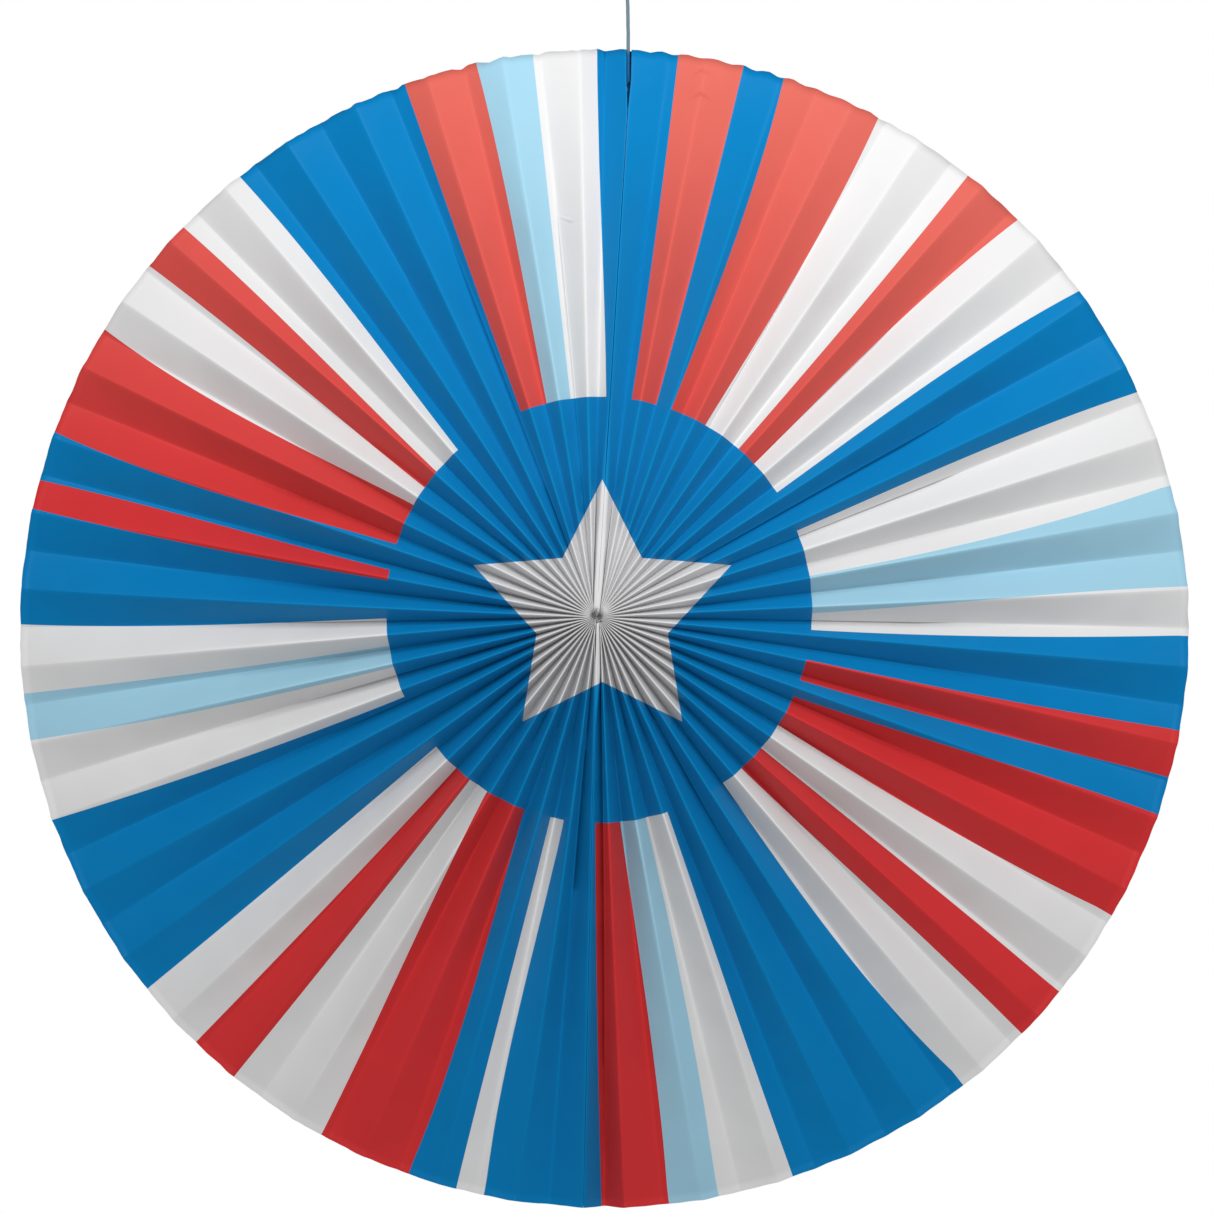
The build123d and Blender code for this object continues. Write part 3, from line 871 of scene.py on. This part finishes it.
def paper_leaf(name, node, surfaces, start, span):
    """A leaf as one closed sheet: its two surfaces, each moved out by half the paper's thickness.

    The thickness is the paper's own, or near the hub 0.7 of half a panel's even share of the half
    circle, where that is less. In the hollow side of each fold the surface moves straight forward
    or back, so that the two panels beside the fold don't cross. The attribute "crest" is a bell
    curve across each front fold.
    """
    front, back = surfaces
    count, across = front.shape[:2]
    from_hub = np.linalg.norm(front[..., [0, 2]] - hub, axis=-1)
    gap = np.minimum(paper, hub_room * from_hub * np.pi / (4 * pleats))
    outwards = [surface_normals(front), surface_normals(back)]
    folds = len(tab_steps) + len(panel_steps) * np.arange(2 * pleats)
    for normal, hollow in zip(outwards, (folds[1::2], folds[2::2])):
        for column in (hollow - 1, hollow, hollow + 1):
            normal[straight_row:, column] = (0, -1, 0)
    front_skin = front + outwards[0] * (gap / 2)[..., None]
    back_skin = back - outwards[1] * (gap / 2)[..., None]
    vertices = np.concatenate([front_skin.reshape(-1, 3), back_skin.reshape(-1, 3)]) / 1000

    index = np.arange(count * across).reshape(count, across)
    corners = [index[:-1, :-1], index[1:, :-1], index[1:, 1:], index[:-1, 1:]]
    sheet = np.stack(corners, axis=-1).reshape(-1, 4)
    under = sheet[:, ::-1] + count * across
    rim = np.concatenate([index[0, ::-1], index[1:-1, 0], index[-1], index[-2:0:-1, -1]])
    after = np.roll(rim, -1)
    edge = np.stack([rim, after, after + count * across, rim + count * across], axis=-1)
    faces = np.concatenate([sheet, under, edge])
    mesh = bpy.data.meshes.new(name)
    mesh.from_pydata(vertices.tolist(), [], faces.tolist())
    mesh.materials.append(printed_paper(name + "_print", start, span))
    mesh.materials.append(plain_paper)
    kinds = np.concatenate([np.zeros(len(sheet), int), np.ones(len(under) + len(edge), int)])
    mesh.polygons.foreach_set("material_index", kinds)
    drops = [np.ptp(side[..., 1].reshape(-1)[sheet], axis=1) for side in surfaces]
    face_width = np.ptp(front[..., 0].reshape(-1)[sheet], axis=1)
    smooth = [drop <= steep * face_width + steep for drop in drops]
    smooth = np.concatenate([*smooth, np.zeros(len(edge), bool)])
    mesh.polygons.foreach_set("use_smooth", smooth)

    in_print = print_place(vertices[:, 0] * 1000, vertices[:, 2] * 1000, start, span)
    mesh.uv_layers.new(name="print")
    loops = np.stack(in_print, axis=-1)[faces.reshape(-1)]
    mesh.uv_layers["print"].data.foreach_set("uv", loops.reshape(-1))
    tabs, per_pleat = len(tab_steps), 2 * len(panel_steps)
    column = np.arange(across - 2 * tabs)
    crest_column = tabs + np.round(column / per_pleat).astype(int) * per_pleat
    sideways = (front[:, tabs:-tabs] - front[:, crest_column])[..., [0, 2]]
    line_width = line_at_hub + line_growth * from_hub[:, tabs:-tabs]
    line_width = np.clip(line_width, line_least, line_most)
    mask = np.zeros((count, across))
    mask[:, tabs:-tabs] = np.exp(-(np.linalg.norm(sideways, axis=-1) / line_width) ** 2)
    for seam_side in (slice(0, tabs + seam_columns), slice(-tabs - seam_columns, None)):
        mask[:, seam_side] *= 1 - smooth_step(from_hub[:, seam_side], *seam_line_ends)
    mask = mask.reshape(-1)
    crest = mesh.attributes.new("crest", "FLOAT", "POINT")
    crest.data.foreach_set("value", np.concatenate([mask, mask * 0]))

    piece = bpy.data.objects.new(name, mesh)
    bpy.context.collection.objects.link(piece)
    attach(piece, "root")
    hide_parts(node)


# Each leaf has its own turn, squeezed last pleat and bow. At the top seam the creases stand aside
# for the string, more on the left. The print of a leaf reaches a little past both its seams.
right_span = bottom_seam - top_seam
left_span = 360 - right_span
past_seam = 4
right_grid = leaf_grid(
    5, top_seam, right_span, 4.0, lambda pleat: 0.75 * np.sin(np.pi * np.minimum(pleat / 18, 1)),
    first_spread=(0.85, 0.0, 0.12, 0),
    first_ridge=(22, 2.2, 0.4), last_ridge=(30, 3.2, 0.2), last_short=1.6,
)
left_grid = leaf_grid(
    6, bottom_seam, left_span, 4.8, lambda pleat: -1.05 + 0.6 * np.clip((pleat - 19) / 4, 0, 1),
    first_spread=(0, 0, 0.1, 0.8), last_spread=(2.0, 3.25, 0.12, 0),
    last_ridge=(22, 2.2, 0.4),
)
for name, node, surfaces, seam, span in (
    ("right_paper_leaf", "right_leaf", right_grid, top_seam, right_span),
    ("left_paper_leaf", "left_leaf", left_grid, bottom_seam, left_span),
):
    paper_leaf(name, node, surfaces, seam - past_seam, span + 2 * past_seam)


# The seams are held by clear double-sided tape between their tabs, and the hub by white cotton
# thread through the needle holes. Both are hidden between the panels.
seam_adhesive, tree, shader = new_material("seam_adhesive")
shader.inputs["Roughness"].default_value = 0.5
milky = place_group(tree, mottled, Scale=700, Dark=(0.8, 0.78, 0.7, 1), Pale=(0.88, 0.86, 0.8, 1))
tree.links.new(milky.outputs["Colour"], shader.inputs["Base Color"])

white_cotton, tree, shader = new_material("white_cotton")
shader.inputs["Roughness"].default_value = 0.85
cotton = place_group(tree, mottled, Scale=3000, Dark=(0.75, 0.75, 0.72, 1), Pale=(0.9, 0.9, 0.88, 1))
tree.links.new(cotton.outputs["Colour"], shader.inputs["Base Color"])

for node, material in (
    ("top_seam_tape", seam_adhesive),
    ("bottom_seam_tape", seam_adhesive),
    ("hub_thread", white_cotton),
):
    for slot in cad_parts[node].material_slots:
        slot.material = material


# A pale floor lies well below the fan in a white surround. One soft light hangs in front and above,
# and a broad one behind shows the plain back.
floor_level = -1.15
floor_radius = 2.2
floor_corners = 96
floor_mesh = bpy.data.meshes.new("pale_floor")
ring = np.linspace(0, 2 * np.pi, floor_corners, endpoint=False)
floor_points = [floor_radius * np.cos(ring), floor_radius * np.sin(ring), 0 * ring + floor_level]
floor_mesh.from_pydata(np.stack(floor_points, axis=-1).tolist(), [], [list(range(floor_corners))])
pale_floor, tree, shader = new_material("pale_floor")
shader.inputs["Roughness"].default_value = 0.9
clouds = place_group(tree, mottled, Scale=1.5, Dark=(0.86, 0.86, 0.85, 1), Pale=(0.92, 0.92, 0.915, 1))
tree.links.new(clouds.outputs["Colour"], shader.inputs["Base Color"])
floor_mesh.materials.append(pale_floor)
floor = bpy.data.objects.new("pale_floor", floor_mesh)
bpy.context.collection.objects.link(floor)

world = bpy.data.worlds.new("white_surround")
bpy.context.scene.world = world
world.use_nodes = True
sky = world.node_tree
surround = sky.nodes["Background"]
surround.inputs["Color"].default_value = (1, 1, 1, 1)
eye = sky.nodes.new("ShaderNodeLightPath")
level = sky.nodes.new("ShaderNodeMix")
level.inputs["A"].default_value = 0.31
level.inputs["B"].default_value = 1.0
sky.links.new(eye.outputs["Is Camera Ray"], level.inputs["Factor"])
sky.links.new(level.outputs["Result"], surround.inputs["Strength"])

lamp_data = bpy.data.lights.new("soft_light", "AREA")
lamp_data.shape = "RECTANGLE"
lamp_data.size = 0.55
lamp_data.size_y = 0.45
lamp_data.energy = 4.95
lamp = bpy.data.objects.new("soft_light", lamp_data)
lamp.location = (0.08, -0.75, 0.46)
lamp.rotation_euler = (radians(68), 0, 0)
lamp.visible_camera = False
bpy.context.collection.objects.link(lamp)

fill_data = bpy.data.lights.new("back_light", "AREA")
fill_data.size = 1.2
fill_data.energy = 14
fill = bpy.data.objects.new("back_light", fill_data)
fill.location = (0.5, 1.5, 0.7)
fill.rotation_euler = (radians(-65), 0, radians(-18))
fill.visible_camera = False
bpy.context.collection.objects.link(fill)

bpy.context.scene.view_settings.view_transform = "Standard"
